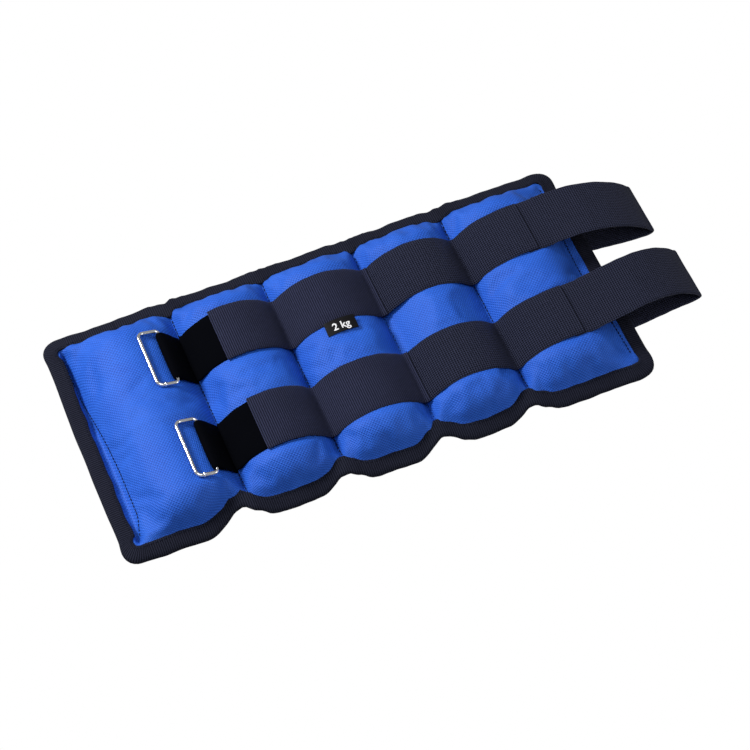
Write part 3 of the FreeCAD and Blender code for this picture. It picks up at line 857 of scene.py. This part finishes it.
class Strap:
    """A strap along a line in the XZ plane, given at the middle of its thickness. Its y is a number, or a
    function of x where it turns sideways, and its weave starts at the distance flat_from."""

    def __init__(self, line, width, thick, y, flat_from=0.0, seed=0.0):
        self.line, self.width, self.thick, self.y = line, width, thick, y
        self.flat_from, self.seed = flat_from, seed
        self.lengths = [0.0]
        for a, b in zip(line, line[1:]):
            self.lengths.append(self.lengths[-1] + (b - a).length)
        self.total = self.lengths[-1]

    def at(self, s):
        """The line's point and upward direction at a distance along it."""
        s = min(max(s, 0.0), self.total)
        i = next((n for n in range(len(self.line) - 1) if self.lengths[n + 1] >= s), len(self.line) - 2)
        t = (s - self.lengths[i]) / (self.lengths[i + 1] - self.lengths[i])
        point = self.line[i].lerp(self.line[i + 1], t)

        def lean(n):
            n = min(max(n, 1), len(self.line) - 2)
            return (self.line[n + 1] - self.line[n - 1]).normalized()
        along = lean(i).lerp(lean(i + 1), t).normalized()
        return point, Vector((-along.y, along.x))

    def middle(self, x, s):
        """The y of the strap's middle, which wavers a little."""
        y = self.y(x) if callable(self.y) else self.y
        return y + 0.35 * MM * lumps(s, y, 35 * MM, self.seed)

    def __call__(self, s, w, t):
        point, up = self.at(s)
        across = w - 0.5
        edge = min(0.5 - abs(across), 0.03) / 0.03
        side = (t - 0.5) * mix(0.55, 1.0, sqrt(edge)) * self.thick
        crown = -0.9 * MM * (2 * across) ** 4 * self.sag(point.x)
        ripple = 0.22 * MM * lumps(s, across * self.width, 16 * MM, self.seed + 2)
        p = point + up * (side + crown + ripple)
        edge_ripple = 0.25 * MM * lumps(s, 0, 7 * MM, self.seed + across) * (2 * abs(across)) ** 6
        return (p.x, self.middle(point.x, s) + across * self.width + edge_ripple, p.y)

    def sag(self, x):
        """How much the strap's edges lie down, on the pockets but not past them."""
        return 1.0 if x < CUFF_END - 30 * MM else 0.0

    def flat(self, s, w, t):
        return (s + self.flat_from, w * self.width + (0.0 if t else 0.1))


# the rows of a strap from edge to edge, closer at its edges
ACROSS = [0, 0.008, 0.03] + [0.08 + 0.84 * i / 14 for i in range(15)] + [0.97, 0.992, 1.0]


def strap_piece(name, strap, material, cell=1.6 * MM):
    """The strap made a mesh, with cells of that length along it."""
    piece = strip(name, (0.0, strap.total), round(strap.total / cell), ACROSS, strap, material)
    return piece


def over(x0, x1, lift, step=1.4 * MM):
    """A strap's middle line from x0 to x1, lifted that far over the pockets. lift is a number, or a
    function of x."""
    count = round((x1 - x0) / step)
    line = []
    for i in range(count + 1):
        x = mix(x0, x1, i / count)
        up = lift(x) if callable(lift) else lift
        line.append(Vector((x, strap_under(x) + up)))
    return line


def blend_at_seam(piece):
    """Bakes the place of a strap that lies over a seam into its mesh, from one pocket to the next."""
    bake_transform(piece)


def elastic_lift(x):
    """The elastic lies over the pile tape's end, and then on the pockets."""
    return ELASTIC / 2 + PILE * (1 - ease((x - SEAMS[1] + 3 * MM) / (7 * MM)))


WIRE = 3.0 * MM              # of the frame's ring
RING_WIRE = 2.6 * MM         # as bent and polished
RING_DEPTH = 15.0 * MM       # between the middles of the ring's long bars
pivots = {joint["name"]: joint["pos_m"] for joint in frame["joints"]}
RING_BAR = Vector((pivots["back_ring_swing"][0], pivots["back_ring_swing"][2]))
FAR_RISE = high("back_wire_ring").z - WIRE / 2 - RING_BAR.y
FAR_BAR = RING_BAR + Vector((-sqrt(RING_DEPTH ** 2 - FAR_RISE ** 2), FAR_RISE))
TAB_TAPE = 1.5 * MM
TAB_FOOT = -102.6 * MM       # where the tab's two ends are sewn in
TAB_CROWN = Vector((-139.33 * MM, -11.84 * MM))    # the middle of the round that a tab lies on
TAB_RADIUS = 40.84 * MM


def tab_line():
    """The tab's tape: up under the ring's bar, round it, and back down over itself to the seam."""
    def on_pocket(x, lift):
        radius = TAB_RADIUS + lift
        return Vector((x, TAB_CROWN.y + sqrt(radius * radius - (x - TAB_CROWN.x) ** 2)))
    inner = RING_BAR.x + 1.5 * MM
    lower = [on_pocket(mix(TAB_FOOT, inner, i / 8), 1.2 * MM) for i in range(9)]
    reach = WIRE / 2 + 0.25 * MM + TAB_TAPE / 2
    loop = [RING_BAR + reach * Vector((-sin(a), -cos(a))) for a in (radians(10 + 20 * i) for i in range(9))]
    lifts = [2.8 * MM + 3.0 * MM * (1 - ease(i / 7)) for i in range(9)]
    upper = [on_pocket(mix(inner, TAB_FOOT, i / 8), lift) for i, lift in enumerate(lifts)]
    return smooth_line(lower + loop + upper, 0.9 * MM)


TAIL_BREAK = 150 * MM        # where the webbing ends, over the tail's sewn start
FOLD_X = high("back_tail_fold").x - WEBBING / 2
REACH = {"back": -2.0 * MM, "front": 4.0 * MM}     # how far past the frame's fold each tail's fold lies


def tail_line(side):
    """The tail from the last pocket's crown past the cuff's end, down to its fold."""
    z = STRAP_TOP + WEBBING / 2
    lift = (0.8 if side == "back" else 0.3) * MM
    fold = FOLD_X + REACH[side]
    return smooth_line([
        (TAIL_BREAK - 6 * MM, z), (160 * MM, z + 0.2 * MM), (172 * MM, z + 0.5 * MM + lift),
        (fold - 50 * MM, z + 0.4 * MM + lift), (fold - 40 * MM, z - 0.9 * MM), (fold - 31 * MM, z - 3.4 * MM),
        (fold - 22 * MM, z - 7.6 * MM), (fold - 14 * MM, z - 12.6 * MM), (fold - 6.7 * MM, z - 18.2 * MM),
        (fold - 1.8 * MM, z - 23.4 * MM)], 1.3 * MM)


TURN_START = 7.4 * MM        # how far from its fold a tail has turned back
TURN_END = 16.1 * MM         # and where the folded end proper begins
TIP_END = 191 * MM


def tip_point(side, x):
    """A place on the folded end's middle line, which rises towards its free edge."""
    start = FOLD_X + REACH[side] - TURN_START
    share = max((start - x) / (start - TIP_END), 0.0)
    return Vector((x, (1.9 + 4.1 * share ** 1.7) * MM))


def fold_line(side):
    """The tail's turn at its fold, and the start of the folded end."""
    z = STRAP_TOP + WEBBING / 2
    fold = FOLD_X + REACH[side]
    turn = [(fold - 1.8 * MM, z - 23.4 * MM), (fold, 5.0 * MM), (fold - 1.2 * MM, 3.0 * MM),
            (fold - 4.0 * MM, 2.0 * MM)]
    onward = [tip_point(side, mix(fold - TURN_START, fold - TURN_END, i / 3)) for i in range(4)]
    return smooth_line(turn + onward, 0.6 * MM)


def end_line(side):
    """The folded end, under the tail, to its free edge."""
    fold = FOLD_X + REACH[side]
    return smooth_line([tip_point(side, mix(fold - TURN_END, TIP_END, i / 8)) for i in range(9)], 1.3 * MM)


DRIFT = {"back": -3.0 * MM, "front": 9.0 * MM}    # how far each tail turns to one side


def webbing_end_lift(x):
    """The webbing lies on the pocket, and then over the tail's sewn start."""
    return WEBBING / 2 + WEBBING * ease((x - 128 * MM) / (14 * MM))


def elastic_end_lift(x):
    """The elastic's end lies over the webbing's start."""
    return elastic_lift(x) + 1.5 * MM * ease((x - SEAMS[2] + 9 * MM) / (7 * MM))


def tail_side(side):
    """The y of a tail's middle along it, which turns to one side."""
    def at(x):
        return STRAP_Y[side] + DRIFT[side] * ease((x - 152 * MM) / (95 * MM))
    return at


for side, y in STRAP_Y.items():
    seed = 1.0 if side == "back" else 6.0
    tab = Strap(tab_line(), PILE_WIDTH, TAB_TAPE, y, seed=seed)
    piece = strap_piece(f"{side}_tab_loop", tab, PILE_TAPE, 1.0 * MM)
    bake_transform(piece)
    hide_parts(f"{side}_ring_tab")

    pile = Strap(over(SEAMS[0] - 0.4 * MM, SEAMS[1] - 1 * MM, PILE / 2), PILE_WIDTH, PILE, y, seed=seed)
    piece = strap_piece(f"{side}_pile_strip", pile, PILE_TAPE)
    blend_at_seam(piece)
    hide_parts(f"{side}_pile_band")

    elastic = Strap(over(low(f"{side}_elastic_2").x, 0.0, elastic_lift), STRAP_WIDTH, ELASTIC, y, seed=seed)
    piece = strap_piece(f"{side}_elastic_start", elastic, ELASTIC_KNIT)
    blend_at_seam(piece)
    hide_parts(f"{side}_elastic_2")

    path = over(0.0, SEAMS[2] + 2.5 * MM, elastic_end_lift)
    piece = strap_piece(f"{side}_elastic_end", Strap(path, STRAP_WIDTH, ELASTIC, y, elastic.total, seed),
                        ELASTIC_KNIT)
    blend_at_seam(piece)
    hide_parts(f"{side}_elastic_3")

    path = over(SEAMS[2] - 1.5 * MM, MIDDLES[3], WEBBING / 2)
    first = Strap(path, WEBBING_WIDTH, WEBBING, y, 0.0, seed + 1)
    piece = strap_piece(f"{side}_webbing_start", first, MESH_WEBBING)
    blend_at_seam(piece)
    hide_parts(f"{side}_webbing_4")

    path = over(MIDDLES[3], TAIL_BREAK, webbing_end_lift)
    piece = strap_piece(f"{side}_webbing_end", Strap(path, WEBBING_WIDTH, WEBBING, y, first.total, seed + 1),
                        MESH_WEBBING)
    blend_at_seam(piece)
    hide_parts(f"{side}_webbing_5")

    # the tail's weave runs on from piece to piece
    tail_y = tail_side(side)
    woven = 0.31
    tail = Strap(tail_line(side), STRAP_WIDTH, WEBBING, tail_y, woven, seed + 2)
    piece = strap_piece(f"{side}_tail_webbing", tail, MESH_WEBBING)
    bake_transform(piece)
    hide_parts(f"{side}_tail_root", f"{side}_tail_strap")

    fold = Strap(fold_line(side), STRAP_WIDTH, WEBBING, tail_y, woven + tail.total, seed + 2)
    piece = strap_piece(f"{side}_tail_turn", fold, MESH_WEBBING, 0.8 * MM)
    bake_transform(piece)
    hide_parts(f"{side}_tail_fold")

    tip = Strap(end_line(side), STRAP_WIDTH, WEBBING, tail_y, woven + tail.total + fold.total, seed + 2)
    piece = strap_piece(f"{side}_tail_tip_webbing", tip, MESH_WEBBING)
    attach(piece, f"{side}_tail_tip")
    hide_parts(f"{side}_tail_end")

    start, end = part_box(f"{side}_hook_patch")
    path = [p - Vector((0, 1.25 * MM)) for p in end_line(side) if start.x <= p.x <= end.x + 2 * MM]
    hooks = Strap(path, end.y - start.y, 0.9 * MM, tail_y, 0.0, seed + 3)
    piece = strap_piece(f"{side}_hook_strip", hooks, HOOK_TAPE)
    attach(piece, f"{side}_tail_tip")
    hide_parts(f"{side}_hook_patch")

# ---------------------------------------------------------------- wire rings


def wire_ring(side):
    """Round wire bent to a rectangle, with the bead of its weld on a short side by the far bar."""
    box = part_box(f"{side}_wire_ring")
    half = (box[1].y - box[0].y - WIRE) / 2
    depth = (FAR_BAR - RING_BAR).length
    near, far = 2.7 * MM, 3.8 * MM      # the bends' radii at the near bar and the far bar
    mesh = bmesh.new()
    made = bmesh.ops.create_circle(mesh, cap_ends=False, segments=18, radius=RING_WIRE / 2,
                                   matrix=Matrix.Rotation(pi / 2, 4, "X"))
    edges = list({e for v in made["verts"] for e in v.link_edges})

    def straight(edges, vector):
        grown = bmesh.ops.extrude_edge_only(mesh, edges=edges)["geom"]
        bmesh.ops.translate(mesh, vec=vector, verts=[g for g in grown if isinstance(g, bmesh.types.BMVert)])
        return [g for g in grown if isinstance(g, bmesh.types.BMEdge)]

    def corner(edges, centre):
        turned = bmesh.ops.spin(mesh, geom=edges, cent=centre, axis=(0, 0, 1), dvec=(0, 0, 0), angle=pi / 2,
                                steps=7, use_duplicate=False, use_merge=False)
        return [g for g in turned["geom_last"] if isinstance(g, bmesh.types.BMEdge)]

    # in its own plane: the near bar at x = 0 and the far bar at x = -depth, starting mid near bar
    edges = straight(edges, (0, half - near, 0))
    edges = corner(edges, (-near, half - near, 0))
    edges = straight(edges, (-(depth - near - far), 0, 0))
    edges = corner(edges, (-depth + far, half - far, 0))
    edges = straight(edges, (0, -2 * (half - far), 0))
    edges = corner(edges, (-depth + far, -half + far, 0))
    edges = straight(edges, (depth - near - far, 0, 0))
    edges = corner(edges, (-near, -half + near, 0))
    straight(edges, (0, half - near, 0))
    bmesh.ops.remove_doubles(mesh, verts=mesh.verts[:], dist=0.02 * MM)
    bead = bmesh.ops.create_uvsphere(mesh, u_segments=18, v_segments=10, radius=1.0)["verts"]
    bmesh.ops.scale(mesh, vec=(1.3 * MM, 1.9 * MM, 1.9 * MM), verts=bead)
    bmesh.ops.translate(mesh, vec=(-depth + far + 1.2 * MM, -half, 0), verts=bead)
    bmesh.ops.recalc_face_normals(mesh, faces=mesh.faces[:])
    lean = (FAR_BAR - RING_BAR).normalized()
    turn = Matrix(((-lean.x, 0, lean.y), (0, 1, 0), (-lean.y, 0, -lean.x))).to_4x4()
    place = Matrix.Translation((RING_BAR.x, (box[0].y + box[1].y) / 2, RING_BAR.y)) @ turn
    bmesh.ops.transform(mesh, matrix=place, verts=mesh.verts[:])
    piece = finished(f"{side}_ring", mesh, CHROME)
    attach(piece, f"{side}_ring")
    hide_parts(f"{side}_wire_ring")


for side in STRAP_Y:
    wire_ring(side)

# ---------------------------------------------------------------- stitching


def stitches(name, runs, length, thick, body, nodes=()):
    """Single stitches as one piece. Each pair of (point, outward direction) in a run is one stitch, and
    length is its half length's share of the way between them."""
    mesh = bmesh.new()
    for run in runs:
        for (a, up_a), (b, _) in zip(run[::2], run[1::2]):
            along = b - a
            if along.length < 0.2 * MM:
                continue
            across = along.cross(up_a).normalized()
            up = across.cross(along).normalized()
            turn = Matrix((along.normalized(), across, up)).transposed().to_4x4()
            place = Matrix.Translation((a + b) / 2 + up_a * thick * 0.25) @ turn @ Matrix.Diagonal(
                (along.length * length, thick / 2, thick * 0.42, 1))
            bmesh.ops.create_icosphere(mesh, subdivisions=1, radius=1.0, matrix=place)
    piece = finished(name, mesh, THREAD)
    if nodes:
        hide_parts(*nodes)
    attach(piece, body)


def cross_run(k, x_at, margin, pitch):
    """The places of a row of stitches across pocket k's cover, where x_at gives the row's x at each y."""
    run = []
    y = -CUFF_SIDE + TAPE_WIDTH + margin
    while y < CUFF_SIDE - TAPE_WIDTH - margin:
        for part in (0.0, 0.86):
            at = y + part * pitch
            place, normal = on_cover(k, x_at(at), at)
            if place:
                run.append((place, normal))
        y += pitch
    return run


def seam_row(k):
    """The x of the stitches beside seam k, on the pocket after it."""
    return lambda y: SEAMS[k - 1] + 0.8 * MM


def end_row(end):
    """The x of the stitches along the sewn line across an end."""
    return lambda y: end * (END_STITCH + end_stitch(y, end) + 0.4 * MM)


for k in POCKETS[:-1]:
    run = cross_run(k + 1, seam_row(k), 4 * MM, 3.0 * MM)
    stitches(f"seam_stitches_{k}", [run], 0.55, 0.95 * MM, f"pocket_{k + 1}", [f"seam_thread_{k}"])
for k, end, name in ((1, -1, "ring_end"), (5, 1, "tail_end")):
    run = cross_run(k, end_row(end), 5 * MM, 2.8 * MM)
    stitches(f"{name}_stitches", [run], 0.55, 0.9 * MM, f"pocket_{k}", [f"{name}_thread"])

TAPE_ROW = 0.82              # where the tape's stitches lie, from its outer edge to its inner one


def tape_run(start, end, pitch=3.2 * MM):
    """The places of a row of stitches along the edge tape, with the tape's upward direction there."""
    run = []
    s = start
    while s < end - pitch:
        for part in (0.0, 0.7):
            at = s + part * pitch
            a = Vector(edge_tape(at, TAPE_ROW, 1))
            inner, outer = (Vector(edge_tape(at, TAPE_ROW + d, 1)) for d in (0.06, -0.06))
            ahead = Vector(edge_tape(at + 0.5 * MM, TAPE_ROW, 1))
            n = (inner - outer).cross(ahead - a).normalized()
            run.append((a, n if n.z > 0 else -n))
        s += pitch
    return run


for k in POCKETS:
    start = -LONG / 2 if k == 1 else SEAMS[k - 2] + 2 * MM
    end = LONG / 2 if k == 5 else SEAMS[k - 1] - 2 * MM
    runs = [tape_run(back_edge(start), back_edge(end)), tape_run(front_edge(end), front_edge(start))]
    if k == 1:
        runs.append(tape_run(front_edge(start), back_edge(start) + ROUND))
    if k == 5:
        runs.append(tape_run(back_edge(end), front_edge(end)))
    stitches(f"tape_stitches_{k}", runs, 0.5, 0.55 * MM, f"pocket_{k}")

# ---------------------------------------------------------------- weight label

label_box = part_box("weight_label")


class Label:
    """Where the label's points are, by the back strap on pocket 3, in an arch like the pocket's."""

    slope = 1.2 * MM             # how far its front edge hangs down

    def __init__(self, edge):
        self.edge = edge         # the height of its back edge at the middle

    def __call__(self, s, w, t):
        y = mix(label_box[0].y, label_box[1].y, w)
        bow = arch(0.0, 0.5 * PITCH, 0.0, 18 * MM, s) - 18 * MM
        return Vector((s, y, self.edge + self.slope * (w - 1) + bow + 0.5 * MM * t))

    def flat(self, s, w, t):
        return (s, w * (label_box[1].y - label_box[0].y))


# the label is raised just clear of the cover
gaps = []
for i in range(9):
    for j in range(6):
        spot = Label(0.0)(mix(label_box[0].x, label_box[1].x, i / 8), j / 5, 0)
        gaps.append(on_cover(3, spot.x, spot.y)[0].z - spot.z)
label_place = Label(max(gaps) + 0.15 * MM)
label = strip("mass_label", (label_box[0].x, label_box[1].x), 16, [i / 8 for i in range(9)], label_place,
              LABEL_SATIN)
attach(label, "pocket_3")
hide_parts("weight_label")

text = bpy.data.curves.new("mass_mark", "FONT")
text.body = "2 kg"
text.align_x, text.align_y = "CENTER", "CENTER"
text.size = 7.4 * MM
text.extrude = 0.06 * MM
text.offset = 0.12 * MM
holder = bpy.data.objects.new("mass_mark_outline", text)
bpy.context.scene.collection.objects.link(holder)
bpy.context.view_layer.update()
marks = bpy.data.meshes.new_from_object(holder.evaluated_get(bpy.context.evaluated_depsgraph_get()))
bpy.data.objects.remove(holder)
print_mesh = bmesh.new()
print_mesh.from_mesh(marks)
bmesh.ops.triangulate(print_mesh, faces=print_mesh.faces[:])
bmesh.ops.remove_doubles(print_mesh, verts=print_mesh.verts[:], dist=0.005 * MM)
print_uv = print_mesh.loops.layers.uv.new("cloth")
depth = label_box[1].y - label_box[0].y
for v in print_mesh.verts:
    w = 0.44 + v.co.y / depth
    raised = v.co.z
    v.co = label_place(v.co.x + (label_box[0].x + label_box[1].x) / 2, w, 1)
    v.co.z += raised + 0.04 * MM
for face in print_mesh.faces:
    for loop in face.loops:
        loop[print_uv].uv = (loop.vert.co.x, loop.vert.co.y)
mark = finished("mass_mark", print_mesh, PRINT, smooth=False)
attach(mark, "pocket_3")

# ---------------------------------------------------------------- floor, light and camera

FLOOR_Z = -0.3               # under all that the folded cuff and its tails reach

floor_mesh = bmesh.new()
bmesh.ops.create_grid(floor_mesh, x_segments=1, y_segments=1, size=4.0)
bmesh.ops.translate(floor_mesh, vec=(0, 0, FLOOR_Z), verts=floor_mesh.verts[:])
floor_paint = Paint("pale_floor", Base_Color=rgb(0, 0, 0), Specular_IOR_Level=0.0,
                    Emission_Color=rgb(1, 1, 1), Emission_Strength=1.0)
floor = finished("floor", floor_mesh, floor_paint.material, smooth=False)
# it shows as plain white, and throws neither light nor shadow on the cuff
floor.visible_diffuse = floor.visible_glossy = floor.visible_shadow = False


def lamp(name, place, size, power):
    """A round soft light of that width and power, aimed at the cuff's middle."""
    light = bpy.data.lights.new(name, "AREA")
    light.shape = "DISK"
    light.size, light.energy = size, power
    holder = bpy.data.objects.new(name, light)
    holder.location = place
    holder.rotation_euler = (-Vector(place)).to_track_quat("-Z", "Y").to_euler()
    bpy.context.scene.collection.objects.link(holder)


lamp("key_light", (-1.0, 0.75, 1.15), 0.55, 38)
lamp("top_light", (0.2, -0.3, 1.6), 1.0, 8)
lamp("side_light", (1.1, -0.9, 0.6), 0.5, 4)
lamp("under_light", (-0.5, -0.3, -1.3), 1.0, 9)

# soft light from all round, and plain white behind the floor's edge
world = bpy.data.worlds.new("studio")
world.use_nodes = True
nodes, links = world.node_tree.nodes, world.node_tree.links
soft = nodes["Background"]
soft.inputs["Color"].default_value, soft.inputs["Strength"].default_value = rgb(1, 1, 1), 0.30
white = nodes.new("ShaderNodeBackground")
white.inputs["Color"].default_value, white.inputs["Strength"].default_value = rgb(1, 1, 1), 1.0
either = nodes.new("ShaderNodeMixShader")
links.new(nodes.new("ShaderNodeLightPath").outputs["Is Camera Ray"], either.inputs[0])
links.new(soft.outputs[0], either.inputs[1])
links.new(white.outputs[0], either.inputs[2])
links.new(either.outputs[0], nodes["World Output"].inputs["Surface"])
bpy.context.scene.world = world
bpy.context.scene.view_settings.view_transform = "Standard"

LENS = 105.6                              # mm, on a 36 mm sensor
AZIMUTH, ELEVATION = radians(-22.78), radians(59.41)
DISTANCE = 1.51196
SIDE_STEP, RISE = 18.66 * MM, -8.82 * MM  # of the view's middle from the cuff's middle
back = Vector((sin(AZIMUTH) * cos(ELEVATION), -cos(AZIMUTH) * cos(ELEVATION), sin(ELEVATION)))
right = Vector((cos(AZIMUTH), sin(AZIMUTH), 0))
upward = back.cross(right)
camera = bpy.data.objects.new("camera", bpy.data.cameras.new("camera"))
camera.data.lens, camera.data.sensor_width = LENS, 36
camera.data.clip_start, camera.data.clip_end = 0.05, 20
camera.matrix_world = Matrix((right, upward, back)).transposed().to_4x4()
camera.location = back * DISTANCE + right * SIDE_STEP + upward * RISE
bpy.context.scene.collection.objects.link(camera)
bpy.context.scene.camera = camera
